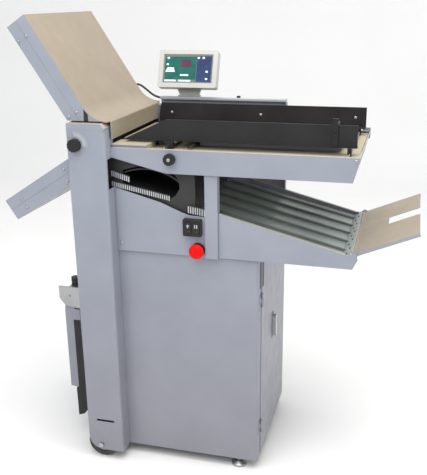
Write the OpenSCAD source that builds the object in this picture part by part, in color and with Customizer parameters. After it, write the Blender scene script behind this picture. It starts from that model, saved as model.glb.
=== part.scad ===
// Floor-standing buckle folding machine: feed table on the right, two fold plates and the roller
// head on the left, delivery tray under the table, cabinet below.
// Working frame of the modules: x = 0 on the column's left face, y = 0 on its front face, z = 0 floor.

/* [Frame] */
// Depth over the front and rear columns
depth = 443; // [440:1:446]
// Width of the column covers
col_w = 105; // [105:1:107]
// Depth of each column cover
col_d = 52; // [51:0.5:52]
// Height of the column covers, under their caps
col_top = 978; // [974:1:980]
// Gap between the floor and the sheet metal
floor_gap = 30; // [26:1:32]
// Sheet metal thickness
sheet = 2; // [1.5:0.5:2]

/* [Cabinet] */
// Right side of the cabinet
cab_right = 495; // [485:1:505]
// Top of the cabinet
cab_top = 644; // [636:1:645]

/* [Feed table] */
// Right end of the table's rails
table_right = 742; // [738:1:760]
// Top of the table's rails
rail_top = 931; // [930:1:932]
// Height of the side guides
guide_h = 56; // [40:1:60]
// Clear width between the side guides at rest
guide_gap = 297; // [290:1:300]
// How far each side guide moves inward
guide_travel = 100; // [60:5:100]

/* [Fold plates] */
// Lean of the upper fold plate, measured from +X
upper_angle = 122.5; // [122:0.5:123]
// Thickness of the upper fold plate
upper_thick = 58; // [54:1:60]
// Thickness of the lower fold plate
lower_thick = 61; // [58:1:62]

/* [Rollers] */
// Pitch radius of the fold rollers and their gears
roll_r = 18; // [18:1:18]
// Radius of the feed drum
drum_r = 21; // [20:0.5:21]

/* [Delivery tray] */
// Length of the fold-up extension
ext_len = 168; // [140:1:190]
// Rise of the extension from level
ext_angle = 23; // [15:1:30]

/* [Screen] */
// Width of the touch screen housing
screen_w = 182; // [160:1:190]
// Height of the touch screen housing
screen_h = 113; // [100:1:120]
// Lean of the screen from upright
screen_tilt = 20; // [10:1:25]

/* [Hidden] */
$fn = 48;

// Colours
grey = [0.66, 0.68, 0.73];
pale = [0.80, 0.80, 0.80];
tan = [0.76, 0.71, 0.62];
dark = [0.10, 0.10, 0.11];
steel = [0.62, 0.62, 0.63];
rubber = [0.16, 0.16, 0.17];

// Fits
run_gap = 0.05;
air = 0.3;

// Side plates that carry the rollers
plate_t = 6;
front_plate = [col_d, col_d + plate_t];
rear_plate = [depth - col_d - plate_t, depth - col_d];

// Lean directions of the fold plates: along (e) and across (n), the lower plate square to the upper
e_up = [cos(upper_angle), sin(upper_angle)];
n_up = [sin(upper_angle), -cos(upper_angle)];
e_low = [-n_up.x, -n_up.y];
n_low = e_up;

// Upper plate: distances across (n) and along (t) its lean, from the working origin
up_n0 = 534.5;
up_n1 = up_n0 + upper_thick;
up_nm = (up_n0 + up_n1) / 2;
up_t1 = 1117;
up_base = 999;
cap_top = 995;
plate_y = [16, 418];
pivot = [-2, 1010];
pivot_r = 3;
boss_r = 6.3;
pivot_rib = [60, 70];
hood_x = 112;
hood_low = 952;
hood_y = [30, 392];
web_y = [80, 354];
fillet_run = 42;
fillet_r = fillet_run * tan((180 - 57.5) / 2);

// Lower plate
low_n1 = 763;
low_n0 = low_n1 - lower_thick;
low_nm = (low_n0 + low_n1) / 2;
low_t1 = -241;
low_face = -3;
neck_t = -492;
neck_y = [62, 381];

// Fold rollers around roller b; the two plates' midlines meet beside it
roll_b = [76.2, 896.2];
roll_a = roll_b + 2 * roll_r * n_up;
roll_c = roll_b + 2 * roll_r * e_up;
roll_d = roll_b - 2 * roll_r * n_up;
shaft_r = 6;
shaft_y = [52.5, 407];
sleeve_y = [64, 379];
gear_y = [394, 404];
gear_m = 1.8;
roll_teeth = 20;
drum_teeth = 26;
drum_gear_r = gear_m * drum_teeth / 2;
drum_rise = 7.5;
drum_at = roll_a + [sqrt(pow(roll_r + drum_gear_r, 2) - drum_rise * drum_rise), drum_rise];
drum_y = [120, 323];
pulley_y = [410, 422];
pulley_r = 14;
motor_at = [60, 760];
motor_pulley_r = 10;
motor_shaft_r = 4;

// Feed table
rail_y = 32;
rail_back_y = 411;
rail_low = 869;
rail_lip = 9;
post_y = 37;
rake = 15;
table_knob_at = [268, 908];
surface_z = 925;
bed_z = 940;
bed_t = 4;
bed_y = [105, 350];
bed_x = [116, 690];
guide_x = [120, 730];
front_guide_x = 130;
front_cut = [114, guide_h - 3];
guide_low = bed_z + bed_t + 0.5;
guide_t = 3;
guide_mid = 227.5;
guide_in = [guide_mid - guide_gap / 2, guide_mid + guide_gap / 2];
flange_w = 24;
stop_x = 669;
stop_w = 14;
rod_r = 3;
rods_z = 932.5;
rack_z = [929, 935];
pinion_x = 278;
rods_x = [pinion_x - 29, pinion_x + 31, 712];
pinion_m = 1.5;
pinion_teeth = 20;
pinion_r = pinion_m * pinion_teeth / 2;
rack_back = 8;
foot_z = [927, guide_low];
front_foot = [pinion_x - 37, pinion_x - pinion_r];
rear_foot = [pinion_x + pinion_r, pinion_x + 39];

// Delivery tray
tray_x = 389;
tray_y = [44, 438];
ribs_y = [for (i = [0 : 4]) 99 + 72 * i];
rib_h = 7;
floor_left = 304;
floor_at = [[389, 751], [706, 673], [727.5, 684.3]];
lip_end = [732.2, 685.6];
hinge_at = [737, 683];
hinge_r = 3;
ext_y = [50, 432];
ext_flange = 7;
ext_slot_y = [222, 285];
ext_slot_from = 82;

// Door in the cabinet's right side
door_y = [86, 440.5];
door_z = [36, 638];
door_pan = 15;
door_axis = [cab_right + 4, 84.5];
knuckle_r = 3.2;
pin_r = 1.5;
hinge_z = [110, 500];
handle_y = 250;
handle_z = [332, 412];
handle_top = handle_z[1] - 14;
escutcheon_t = 2.5;

// Operator controls on the panel
button_x = [310, 332];
button_z = 727;
estop_at = [333.5, 665.5];
column_knob_at = [23, 940];

// Wheels' and feet's places
wheel_at = [37, 46];
wheel_r = 46;
wheel_y = [12, 32];
foot_at = [437, 75];
foot_rear = depth - 23;

// Screen: tilt axis and its housing, measured from that axis
tilt_at = [442, 1037];
screen_x = 196;
screen_back = -8;
screen_thick = 26;
bar_top = 1011;
bar_y = [429, 444];
swivel_y = 436.5;
swivel_r = 5;

// Stowed side tray: pivot behind the tower
side_pivot = [-80, 470];
side_y = [97, 346];
bracket_y = [92, 347];
clamp_at = [-66, 118];

// Route of the screen's lead, from the rear cap to the top bar, and its radius
lead_route = [
    [14, 430, 1010], [14, 430, 1022], [16, 430, 1033], [22, 431, 1042], [31, 432, 1046],
    [42, 434, 1043], [54, 436, 1034], [66, 437, 1024], [78, 437, 1015], [90, 437, 1009],
    [102, 437, 1006]
];
lead_r = 3.2;

// Origin: middle of the whole machine's box, on the floor
knob_face = -16;
x_low = (low_n1 * n_low + low_t1 * e_low).x;
x_high = hinge_at.x + ext_len * cos(ext_angle) + ext_flange * sin(ext_angle);
y_high = tilt_at.x + screen_back * cos(screen_tilt) + (screen_h + screen_back) * sin(screen_tilt);
origin = [(x_low + x_high) / 2, (knob_face + y_high) / 2, 0];

// ---------- helpers ----------

module place() translate(-origin) children();

module block(a, b) translate(a) cube(b - a);

module rod_x(y, z, x0, x1, r) translate([x0, y, z]) rotate([0, 90, 0]) cylinder(h = x1 - x0, r = r);

module rod_y(at, span, r) translate([at.x, span[1], at.y])
    rotate([90, 0, 0]) cylinder(h = span[1] - span[0], r = r);

module rod_z(x, y, z0, z1, r) translate([x, y, z0]) cylinder(h = z1 - z0, r = r);

// An outline in X and Z, as thick as the y span
module slab(span) translate([0, span[1], 0])
    rotate([90, 0, 0]) linear_extrude(span[1] - span[0]) children();

// The same thing again at the rear of the machine
module rear_twin() translate([0, depth, 0]) mirror([0, 1, 0]) children();

module both_ends() {
    children();
    rear_twin() children();
}

module round_rect(a, b, r) {
    translate([a.x + r, a.y]) square([b.x - a.x - 2 * r, b.y - a.y]);
    translate([a.x, a.y + r]) square([b.x - a.x, b.y - a.y - 2 * r]);
    for (x = [a.x + r, b.x - r], y = [a.y + r, b.y - r])
        translate([x, y]) circle(r);
}

// A rectangle with only its right front corner rounded
module corner_rect(w, d, r) {
    translate([0, r]) square([w, d - r]);
    square([w - r, d]);
    translate([w - r, r]) circle(r);
}

function upper(n, t) = n * n_up + t * e_up;
function upper_t(n, z) = (z - n * n_up.y) / e_up.y;
function lower(n, t) = n * n_low + t * e_low;
function lower_t(n, x) = (x - n * n_low.x) / e_low.x;

// Phase of a gear that meshes with one whose tooth points along tooth, seen along the line to it
function mesh_phase(line, tooth, n_from, n_to) =
    line + 180 - (tooth - line) * n_from / n_to + 180 / n_to;

module gear_outline(teeth, module_mm, phase) {
    r = module_mm * teeth / 2;
    tip = r + 0.85 * module_mm;
    root = r - 1.15 * module_mm;
    polygon([
        for (i = [0 : teeth - 1], p = [[-0.27, root], [-0.11, tip], [0.11, tip], [0.27, root]])
            p[1] * [cos(phase + (i + p[0]) * 360 / teeth), sin(phase + (i + p[0]) * 360 / teeth)]
    ]);
}

// Tube of eight sides along a list of points
module tube(route, r) {
    sides = 8;
    last = len(route) - 1;
    function along(i) = route[min(i + 1, last)] - route[max(i - 1, 0)];
    function unit(v) = v / norm(v);
    function ring(i) = let (d = unit(along(i)), u = unit(cross(d, [0, 1, 0])), w = cross(d, u))
        [for (k = [0 : sides - 1]) route[i] + r * (cos(k * 360 / sides) * u + sin(k * 360 / sides) * w)];
    points = [for (i = [0 : last]) each ring(i)];
    walls = [for (i = [0 : last - 1], k = [0 : sides - 1]) let (j = (k + 1) % sides)
        [i * sides + k, i * sides + j, (i + 1) * sides + j, (i + 1) * sides + k]];
    start = [[for (k = [0 : sides - 1]) sides - 1 - k]];
    end = [[for (k = [0 : sides - 1]) last * sides + k]];
    polyhedron(points, concat(walls, start, end), convexity = 4);
}

// ---------- frame ----------

module base_frame() {
    tube_z = [floor_gap, floor_gap + 30];
    color(steel) difference() {
        union() {
            for (y = [front_plate[1], rear_plate[0] - 30])
                block([8, y, tube_z[0]], [cab_right - 20, y + 30, tube_z[1]]);
            for (x = [112, foot_at.x - 15])
                block([x, front_plate[1], tube_z[0]], [x + 30, depth - 12, tube_z[1]]);
        }
        for (y = [foot_at.y, foot_rear])
            rod_z(foot_at.x, y, tube_z[0] - 1, tube_z[1] + 1, 6 + run_gap);
    }
}

module side_plate_outline() {
    polygon([
        [4, 34], [col_w - 4, 34], [col_w - 4, 648], [352, 648], [352, 754], [310, 762], [257, 798],
        [128, 824], [128, 868], [drum_at.x + 50, 886], [drum_at.x + 50, 920], [drum_at.x + 32, 936],
        [col_w - 4, 936], [col_w - 4, 972], [12, 972], [12, 992], [pivot.x + 4.2, pivot.y],
        [pivot.x - 4.2, pivot.y], [pivot.x - 4.2, 1000], [4, 980]
    ]);
    translate(pivot) circle(4.2);
    polygon([
        [246, 790], [272, 806], [284, 826], [282, 846], [268, 868], [262, 886], [318, 886],
        [325, 850], [326, 800], [323, 757], [300, 755]
    ]);
}

module side_plates() color(dark) {
    for (span = [front_plate, rear_plate]) difference() {
        slab(span) difference() {
            side_plate_outline();
            round_rect([20, 130], [86, 700], 8);
        }
        for (at = [roll_a, roll_b, roll_c, roll_d, drum_at, wheel_at])
            rod_y(at, span + [-1, 1], shaft_r + run_gap);
        rod_y(motor_at, span + [-1, 1], motor_shaft_r + run_gap);
    }
    both_ends() rod_y(pivot, [front_plate[1], pivot_rib[1] + 2], pivot_r);
}

// ---------- columns ----------

module column_cover() {
    bottom_r = 40;
    difference() {
        translate([0, 0, floor_gap]) linear_extrude(col_top - floor_gap) difference() {
            corner_rect(col_w, col_d, 8);
            translate([sheet, sheet]) corner_rect(col_w - 2 * sheet, col_d, 8 - sheet);
        }
        slab([-1, col_d + 1]) difference() {
            translate([-1, floor_gap - 1]) square(bottom_r + 1);
            translate([bottom_r, floor_gap + bottom_r]) circle(bottom_r);
        }
        block([-1, wheel_y[0] - 2, floor_gap - 1], [sheet + 1, wheel_y[1] + 2, 92]);
        rod_y(wheel_at, [-1, sheet + 1], shaft_r + 0.5);
    }
}

module column_cover_front() color(grey) difference() {
    column_cover();
    block([27, -1, 125], [81, sheet + 1, 131.5]);
    rod_y(column_knob_at, [-1, sheet + 1], 4 + run_gap);
    block([col_w - 9, 9, 823], [col_w + 1, col_d + 1, 903]);
}

module column_cover_rear() color(grey) difference() {
    rear_twin() column_cover();
    block([col_w - 8, depth - col_d - 1, 884], [col_w + 1, depth - 30, 948]);
}

module column_caps() color(pale) {
    both_ends() difference() {
        slab([0, col_d]) polygon([
            [0, col_top], [104, col_top], [104, cap_top - 11], [94, cap_top], [0, cap_top]
        ]);
        slab([sheet, col_d - sheet]) polygon([
            [sheet, col_top - 1], [102, col_top - 1], [102, cap_top - 12], [93, cap_top - sheet],
            [sheet, cap_top - sheet]
        ]);
    }
    rod_z(lead_route[0].x, lead_route[0].y, cap_top, lead_route[0].z, 6);
}

module tower_panel() color(grey) {
    block([0, front_plate[0], 62], [sheet, rear_plate[1], 812]);
    block([0, front_plate[0], 914], [sheet, rear_plate[1], 972]);
}

// ---------- middle ----------

module mid_panel() color(grey) difference() {
    slab([44, 46]) polygon([
        [110, 646], [355, 646], [355, 755], [310, 758], [291, 764], [232, 788], [110, 821]
    ]);
    rod_y(estop_at, [43, 47], 11.2);
    block([299, 43, 708], [343, 47, 746]);
}

module rear_panel() color(grey) {
    slab([depth - 3, depth])
        polygon([[col_w, cab_top], [389, cab_top], [389, 762], [497, 734], [497, 1001], [col_w, 1001]]);
    block([494, depth - 18, 742], [497, depth - 3, 1001]);
}

module top_bar() color(pale) {
    difference() {
        translate([112, 0, 0]) rotate([90, 0, 90]) linear_extrude(383)
            round_rect([bar_y[0], 1001], [bar_y[1], bar_top], 3);
        rod_z(screen_x, swivel_y, 1003, bar_top + 1, swivel_r + run_gap);
    }
    rod_x(lead_route[10].y, lead_route[10].z, lead_route[10].x + 1, 112, 4.4);
}

module table_post() color(grey) difference() {
    block([355, post_y, cab_top], [389, 60, surface_z - sheet]);
    block([355 + sheet, post_y + sheet, cab_top - 1], [389 - sheet, 61, surface_z - 2 * sheet]);
}

// ---------- cabinet ----------

module cabinet_shell() {
    front = front_plate[0];
    lip = 14;
    pan_back = cab_right - door_pan - 3;
    color(grey) difference() {
        translate([col_w, front, floor_gap]) linear_extrude(cab_top - floor_gap)
            corner_rect(cab_right - col_w, depth - front, 12);
        translate([col_w + sheet, front + sheet, floor_gap - 1])
            linear_extrude(cab_top - floor_gap + 1 - sheet)
                corner_rect(cab_right - col_w - 2 * sheet, depth - front - 2 * sheet, 10);
        block([pan_back, door_y[0] - 0.5, door_z[0] - 2],
            [cab_right + 1, depth - sheet, door_z[1] + 2]);
        block([col_w - 1, front + sheet, floor_gap - 1], [col_w + 3, depth - sheet, 61]);
        block([cab_right - 3, 67, 556], [cab_right + 1, 83, 632]);
    }
    color(grey) {
        block([col_w + sheet, front + sheet, 60], [pan_back - 3, depth - sheet, 62]);
        block([pan_back - 3, door_y[0] - 2, 60], [cab_right - sheet, door_y[0] - 0.5, cab_top - sheet]);
        block([pan_back - 3, door_y[0] - 2, 60], [pan_back - 1, door_y[0] + lip, cab_top - sheet]);
        block([pan_back - 3, depth - sheet - lip, 60], [pan_back - 1, depth - sheet, cab_top - sheet]);
    }
    color(steel) for (z = hinge_z) hinge_leaf(z);
}

// Fixed half of a door hinge: leaf, middle knuckle and pin
module hinge_leaf(z) {
    block([cab_right, 62, z], [cab_right + 1.5, 74, z + 40]);
    block([cab_right, 62, z + 13], [cab_right + 1.5, door_axis.y - 2, z + 27]);
    block([cab_right, door_axis.y - 4, z + 13], [door_axis.x, door_axis.y - 2, z + 27]);
    rod_z(door_axis.x, door_axis.y, z + 13, z + 27, knuckle_r);
    rod_z(door_axis.x, door_axis.y, z + 1, z + 39, pin_r);
}

module cabinet_door() color(grey) difference() {
    union() {
        translate([cab_right + sheet, 0, 0]) rotate([90, 0, 90]) linear_extrude(escutcheon_t)
            round_rect([handle_y - 12, handle_z[0]], [handle_y + 12, handle_z[1]], 5);
        difference() {
            block([cab_right - door_pan, door_y[0], door_z[0]], [cab_right + sheet, door_y[1], door_z[1]]);
            block([cab_right - door_pan - 1, door_y[0] + 1.5, door_z[0] + 1.5],
                [cab_right, door_y[1] - 1.5, door_z[1] - 1.5]);
        }
        for (z = hinge_z, part = [[0, 12.7], [27.3, 40]]) {
            rod_z(door_axis.x, door_axis.y, z + part[0], z + part[1], knuckle_r);
            block([cab_right + 1.8, door_axis.y, z + part[0]],
                [door_axis.x, door_y[0] + 4, z + part[1]]);
        }
    }
    for (z = hinge_z)
        block([cab_right - 0.5, door_axis.y - 5, z + 12.7], [door_axis.x + 5, door_y[0] + 5, z + 27.3]);
    for (z = hinge_z)
        rod_z(door_axis.x, door_axis.y, z - 1, z + 41, pin_r + run_gap);
    rod_x(handle_y, handle_top, cab_right - 20, cab_right + 5, 6 + run_gap);
}

module door_handle() color(pale) {
    out = cab_right + sheet + escutcheon_t + air;
    translate([out, 0, 0]) rotate([90, 0, 90]) linear_extrude(9)
        round_rect([handle_y - 7, handle_z[0] + 6], [handle_y + 7, handle_z[1] - 6], 6);
    rod_x(handle_y, handle_top, cab_right - 21, out, 6);
    block([cab_right - 21, handle_y - 7, handle_top - 42], [cab_right - 18, handle_y + 7, handle_top + 7]);
}

// ---------- operator controls ----------

module operator_housings() color(dark) {
    difference() {
        slab([32, 44]) round_rect([296, 704], [346, 750], 3);
        for (x = button_x)
            slab([31, 45]) round_rect([x - 9.2, button_z - 16.2], [x + 9.2, button_z + 16.2], 2.2);
    }
    difference() {
        union() {
            rod_y(estop_at, [38, 44], 19);
            rod_y(estop_at, [44, 51.5], 11);
        }
        rod_y(estop_at, [30, 53], 6 + run_gap);
    }
}

module push_button(x) color(rubber)
    slab([30, 42]) round_rect([x - 9, button_z - 16], [x + 9, button_z + 16], 2);

module start_button() push_button(button_x[0]);

module stop_button() push_button(button_x[1]);

module estop_head() color([0.82, 0.10, 0.08])
    translate([estop_at.x, 0, estop_at.y]) rotate([-90, 0, 0]) rotate_extrude($fn = 64) polygon([
        [0, 16], [8, 16.3], [14, 17.6], [18, 20], [20, 23.5], [20, 26.5], [18.5, 29], [13, 31],
        [6, 31.5], [6, 45.5], [0, 45.5]
    ]);

module knob(at, face, r, stem_end) {
    color(dark) difference() {
        rod_y(at, [face, face + 13], r);
        for (a = [0 : 30 : 330])
            rod_y(at + (r + 1.2) * [cos(a), sin(a)], [face - 1, face + 10], 2.6);
    }
    color(steel) rod_y(at, [face + 13, stem_end], 4);
}

module column_knob() {
    knob(column_knob_at, knob_face, 17, 50);
    color(pale) rod_y(column_knob_at, [knob_face + 13, -0.4], 9);
}

module table_knob() {
    knob(table_knob_at, 14, 15, 46);
    color(steel) rod_y(table_knob_at, [34 + air, 38], 8);
}

// ---------- feed table ----------

module rail_outline() polygon([
    [col_w, rail_top], [table_right, rail_top], [table_right - rake, rail_low], [254, rail_low],
    [col_w, 905]
]);

module table_rails() color(grey) {
    difference() {
        union() {
            slab([rail_y, rail_y + sheet]) rail_outline();
            block([col_w + 7, rail_y, rail_top - sheet], [table_right - 4, rail_y + rail_lip, rail_top]);
            rod_x(rail_y + 2, rail_top - 1.5, col_w + 7, table_right - 4, 2.2);
        }
        rod_y(table_knob_at, [rail_y - 1, rail_y + 4], 4 + run_gap);
    }
    slab([rail_back_y - sheet, rail_back_y]) rail_outline();
    block([drum_at.x + 34, rail_back_y - rail_lip, rail_top - sheet],
        [table_right - 4, rail_back_y, rail_top]);
    slab([rail_y + sheet, rail_back_y - sheet]) polygon([
        [table_right - 3.5, rail_top - sheet], [table_right - 0.5, rail_top - sheet],
        [table_right - rake, rail_low], [table_right - rake - 3, rail_low]
    ]);
}

module table_surface() color(tan) {
    open_to = drum_at.x + 54;
    cover_z = 939;
    cover_back = bed_y[0] - 1;
    difference() {
        block([col_w + 1, rail_y + sheet, surface_z - sheet],
            [table_right - 6, rail_back_y - sheet, surface_z]);
        block([col_w - 1, 50, surface_z - 5], [open_to, rail_back_y, surface_z + 5]);
    }
    block([col_w + 1, rail_y + sheet, cover_z - sheet], [open_to + sheet, cover_back, cover_z]);
    block([col_w + 1, rail_y + 5, rail_top], [open_to + sheet, rail_y + 7, cover_z]);
    block([open_to, rail_y + rail_lip + 1, surface_z], [open_to + sheet, cover_back, cover_z]);
}

module feed_bed() color(tan) difference() {
    skirts = [bed_y[0] + 25, bed_y[1] - 29];
    slot_len = guide_travel + 12;
    union() {
        block([bed_x[0], bed_y[0], bed_z], [bed_x[1], bed_y[1], bed_z + bed_t]);
        for (y = skirts)
            block([drum_at.x + 56, y, surface_z], [bed_x[1] - 2, y + 4, bed_z]);
    }
    block([drum_at.x - 15, drum_y[0] - 3, bed_z - 1], [drum_at.x + 15, drum_y[1] + 3, bed_z + 10]);
    block([front_foot[0] - 2, bed_y[0] - 1, bed_z - 5],
        [front_foot[1] + 2, guide_in[0] + slot_len, bed_z + 10]);
    block([rear_foot[0] - 2, guide_in[1] - slot_len, bed_z - 5],
        [rear_foot[1] + 2, bed_y[1] + 1, bed_z + 10]);
    for (y = skirts)
        block([front_foot[0] - 2, y - 1, surface_z - 1], [rear_foot[1] + 2, y + 5, bed_z - 1]);
}

module guide_rods() color(steel) {
    for (x = rods_x)
        rod_y([x, rods_z], [rail_y + rail_lip, rail_back_y - rail_lip], rod_r);
    rod_z(pinion_x, guide_mid, surface_z, rack_z[0] - 0.8, 8);
    rod_z(pinion_x, guide_mid, surface_z, rack_z[1] + 1.5, rod_r);
}

// A guide standing at the front of its rods: wall, paper flange, two bored feet and a rack.
// side is 1 where the rack's teeth point to +X and -1 where they point to -X; the wall starts at x0
// and cut is the size of the slope at its left end.
module side_guide(rod, foot, side, x0, cut) {
    outer = guide_in[0] - guide_t;
    inner = guide_in[0];
    top = guide_low + guide_h;
    pitch_x = side > 0 ? foot[1] : foot[0];
    back_x = pitch_x - rack_back * side;
    root_x = pitch_x - 1.6 * side;
    rack_end = guide_mid + 12;
    difference() {
        union() {
            slab([outer, inner]) polygon([
                [x0, guide_low], [guide_x[1], guide_low], [guide_x[1], top],
                [x0 + cut.x, top], [x0, top - cut.y]
            ]);
            block([x0, inner, guide_low], [guide_x[1], inner + flange_w, guide_low + 2]);
            block([foot[0], outer - 6, foot_z[0]], [foot[1], inner + 3, foot_z[1]]);
            block([rods_x[2] - 5, outer - 6, foot_z[0]], [rods_x[2] + 5, inner + 3, foot_z[1]]);
            block([min(back_x, root_x), inner, rack_z[0]], [max(back_x, root_x), rack_end, rack_z[1]]);
            rack_teeth(pitch_x, side, inner + 6, rack_end);
        }
        for (x = [rod, rods_x[2]])
            rod_y([x, rods_z], [outer - 7, inner + 4], rod_r + run_gap);
    }
}

module rack_teeth(x, side, y0, y1) {
    pitch = PI * pinion_m;
    first = ceil((y0 - guide_mid) / pitch);
    last = floor((y1 - guide_mid) / pitch) - 1;
    for (i = [first : last])
        translate([x, guide_mid + (i + 0.5) * pitch, rack_z[0]])
            linear_extrude(rack_z[1] - rack_z[0]) polygon([
                [-2 * side, -0.27 * pitch], [1.2 * side, -0.10 * pitch],
                [1.2 * side, 0.10 * pitch], [-2 * side, 0.27 * pitch]
            ]);
}

module guide_front() color(dark) side_guide(rods_x[0], front_foot, 1, front_guide_x, front_cut);

module guide_rear() color(dark) translate([0, 2 * guide_mid, 0]) mirror([0, 1, 0])
    side_guide(rods_x[1], rear_foot, -1, guide_x[0], [8, 40]);

module guide_pinion() color(steel) difference() {
    translate([pinion_x, guide_mid, rack_z[0] - 0.5]) linear_extrude(rack_z[1] - rack_z[0] + 1)
        gear_outline(pinion_teeth, pinion_m, 0);
    rod_z(pinion_x, guide_mid, surface_z, rack_z[1] + 5, rod_r + run_gap);
}

module paper_stop() {
    outer = guide_in[0] - guide_t - air;
    top = guide_low + guide_h;
    color(dark) union() {
        block([stop_x, outer - 4, 948], [stop_x + stop_w, outer, top + 16]);
        block([stop_x, outer - 1, top + air], [stop_x + stop_w, outer + 34, top + 4]);
        block([stop_x, outer + 31, top - 34], [stop_x + stop_w, outer + 34, top + 4]);
        for (z = [974, 987])
            rod_y([stop_x + stop_w / 2, z], [outer - 7, outer - 3], 3.2);
    }
}

// ---------- delivery ----------

module tray_sides() color(grey) {
    rim = [[tray_x, 765.4], [716, 680.4], [716, 682], [tray_x, 767]];
    spans = [[tray_y[0], tray_y[0] + sheet], [tray_y[1] - sheet, tray_y[1]]];
    for (span = spans) slab(span) {
        polygon([[tray_x, 646], [735, 644], [748, 671], [738, 679], [716, 682], [tray_x, 767]]);
        polygon([[726, 676], [746, 672], [746, hinge_at.y], [728, hinge_at.y]]);
        translate(hinge_at) circle(hinge_r + 3.5);
    }
    slab([tray_y[0], tray_y[0] + 9]) polygon(rim);
    slab([tray_y[1] - 9, tray_y[1]]) polygon(rim);
    rod_y(hinge_at, [tray_y[0], ext_y[0] + 8], hinge_r);
    rod_y(hinge_at, [ext_y[1] - 8, tray_y[1]], hinge_r);
}

// Point of the tray's floor at x, left of its turned-up end
function on_floor(x) = floor_at[0] + (floor_at[1] - floor_at[0]) * (x - floor_at[0].x)
    / (floor_at[1].x - floor_at[0].x);

module tray_floor() color(grey) {
    a = floor_at[0];
    b = floor_at[1];
    c = floor_at[2];
    d = on_floor(floor_left);
    slab([tray_y[0] + sheet, tray_y[1] - sheet])
        polygon([a, b, c, c + [1, -2.4], b + [0.4, -2.4], a + [0, -sheet]]);
    slab([front_plate[1] + 2.5, rear_plate[0] - 1]) polygon([d, a, a + [0, -sheet], d + [0, -sheet]]);
    slab([ext_y[0] + 8, ext_y[1] - 8]) polygon([c, lip_end, lip_end + [0, -1.6], c + [0.6, -2]]);
}

module tray_ribs() color(dark) for (y = ribs_y) slab([y - 3, y + 3]) {
    a = on_floor(floor_left + 28);
    b = floor_at[1];
    polygon([a, b, b + 0.38 * (floor_at[2] - b), a + [3, rib_h]]);
}

module tray_extension() color(tan) translate([hinge_at.x, 0, hinge_at.y]) rotate([0, -ext_angle, 0])
    difference() {
        union() {
            slab(ext_y) polygon([[-4, -1], [ext_len, -1], [ext_len, 1], [-4, 1]]);
            for (y = [ext_y[0], ext_y[1] - sheet])
                slab([y, y + sheet]) polygon([
                    [-5, -5], [10, -ext_flange], [ext_len, -ext_flange], [ext_len, 1], [10, 1],
                    [4, 6], [-5, 6]
                ]);
            for (y = [ext_y[0], ext_y[1] - 6])
                slab([y, y + 6]) circle(hinge_r + 3);
            slab(ext_y) circle(hinge_r + 1.4);
        }
        rod_y([0, 0], [ext_y[0] - 1, ext_y[1] + 1], hinge_r + run_gap);
        block([ext_slot_from, ext_slot_y[0], -5], [ext_len + 1, ext_slot_y[1], 5]);
    }

// A strip between two points, as high as h, with upright bars along its front
module strip(a, b, h) {
    n = floor(norm(b - a) / 6);
    bar = 1.3;
    slab([46.3, front_plate[0]]) polygon([a, b, b + [0, h], a + [0, h]]);
    for (i = [0 : n], p = [a + (b - a) * i / n])
        block([p.x - bar, 44, p.y + 1], [p.x + bar, 46.3, p.y + h - 1]);
}

module delivery_strips() color(pale) {
    strip([100, 824], [257, 793], 14);
    strip([100, 851], [147, 837], 16);
    strip([309, 763], [352, 756], 20);
}

module delivery_chute() color(dark) slab([front_plate[1], rear_plate[0]]) {
    centre = [190, 720];
    polygon([
        [92, 850], [128, 828], [250, 792], [306, 775.8], [306, 773.8], [250, 790], [127, 826],
        [90, 848]
    ]);
    intersection() {
        translate(centre) difference() {
            circle(154, $fn = 120);
            circle(150, $fn = 120);
        }
        translate(centre) polygon([[0, 0], 400 * [cos(23), sin(23)], [180, 400], [-180, 300]]);
    }
}

// ---------- drive ----------

module fold_roller(at, phase) {
    color(rubber) rod_y(at, sleeve_y, roll_r - 0.2);
    color(steel) rod_y(at, shaft_y, shaft_r);
    color(steel) slab(gear_y) translate(at) gear_outline(roll_teeth, gear_m, phase);
}

tooth_b = upper_angle - 90;
tooth_a = mesh_phase(upper_angle - 90, tooth_b, roll_teeth, roll_teeth);
tooth_c = mesh_phase(upper_angle, tooth_b, roll_teeth, roll_teeth);
tooth_d = mesh_phase(upper_angle + 90, tooth_b, roll_teeth, roll_teeth);
drum_line = atan2(drum_at.y - roll_a.y, drum_at.x - roll_a.x);

module fold_roller_a() fold_roller(roll_a, tooth_a);

module fold_roller_b() {
    fold_roller(roll_b, tooth_b);
    color(steel) rod_y(roll_b, [shaft_y[1], pulley_y[1]], shaft_r);
    color(dark) rod_y(roll_b, pulley_y, pulley_r);
}

module fold_roller_c() fold_roller(roll_c, tooth_c);

module fold_roller_d() fold_roller(roll_d, tooth_d);

module feed_drum() {
    color(rubber) for (y = [drum_y[0] : 29 : drum_y[1] - 27])
        rod_y(drum_at, [y, y + 26], drum_r);
    color(steel) rod_y(drum_at, drum_y, drum_r - 1.5);
    color(steel) rod_y(drum_at, shaft_y, shaft_r);
    color(steel) slab(gear_y) translate(drum_at)
        gear_outline(drum_teeth, gear_m, mesh_phase(drum_line, tooth_a, roll_teeth, drum_teeth));
}

module drive_motor() color(dark) difference() {
    union() {
        rod_y(motor_at, [240, rear_plate[0] - 4], 34);
        slab([rear_plate[0] - 4, rear_plate[0]]) round_rect(motor_at - [38, 38], motor_at + [38, 38], 6);
    }
    rod_y(motor_at, [300, rear_plate[0] + 1], motor_shaft_r + run_gap);
}

module motor_pulley() {
    color(steel) rod_y(motor_at, [320, pulley_y[0]], motor_shaft_r);
    color(dark) rod_y(motor_at, pulley_y, motor_pulley_r);
}

// Outline that runs round two circles
module belt_outline(a, ra, b, rb) hull() {
    translate(a) circle(ra);
    translate(b) circle(rb);
}

module drive_belt() color(rubber) slab([pulley_y[0] + 1, pulley_y[1] - 1]) difference() {
    belt_outline(roll_b, pulley_r + air + 2, motor_at, motor_pulley_r + air + 2);
    belt_outline(roll_b, pulley_r + air, motor_at, motor_pulley_r + air);
}

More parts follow.
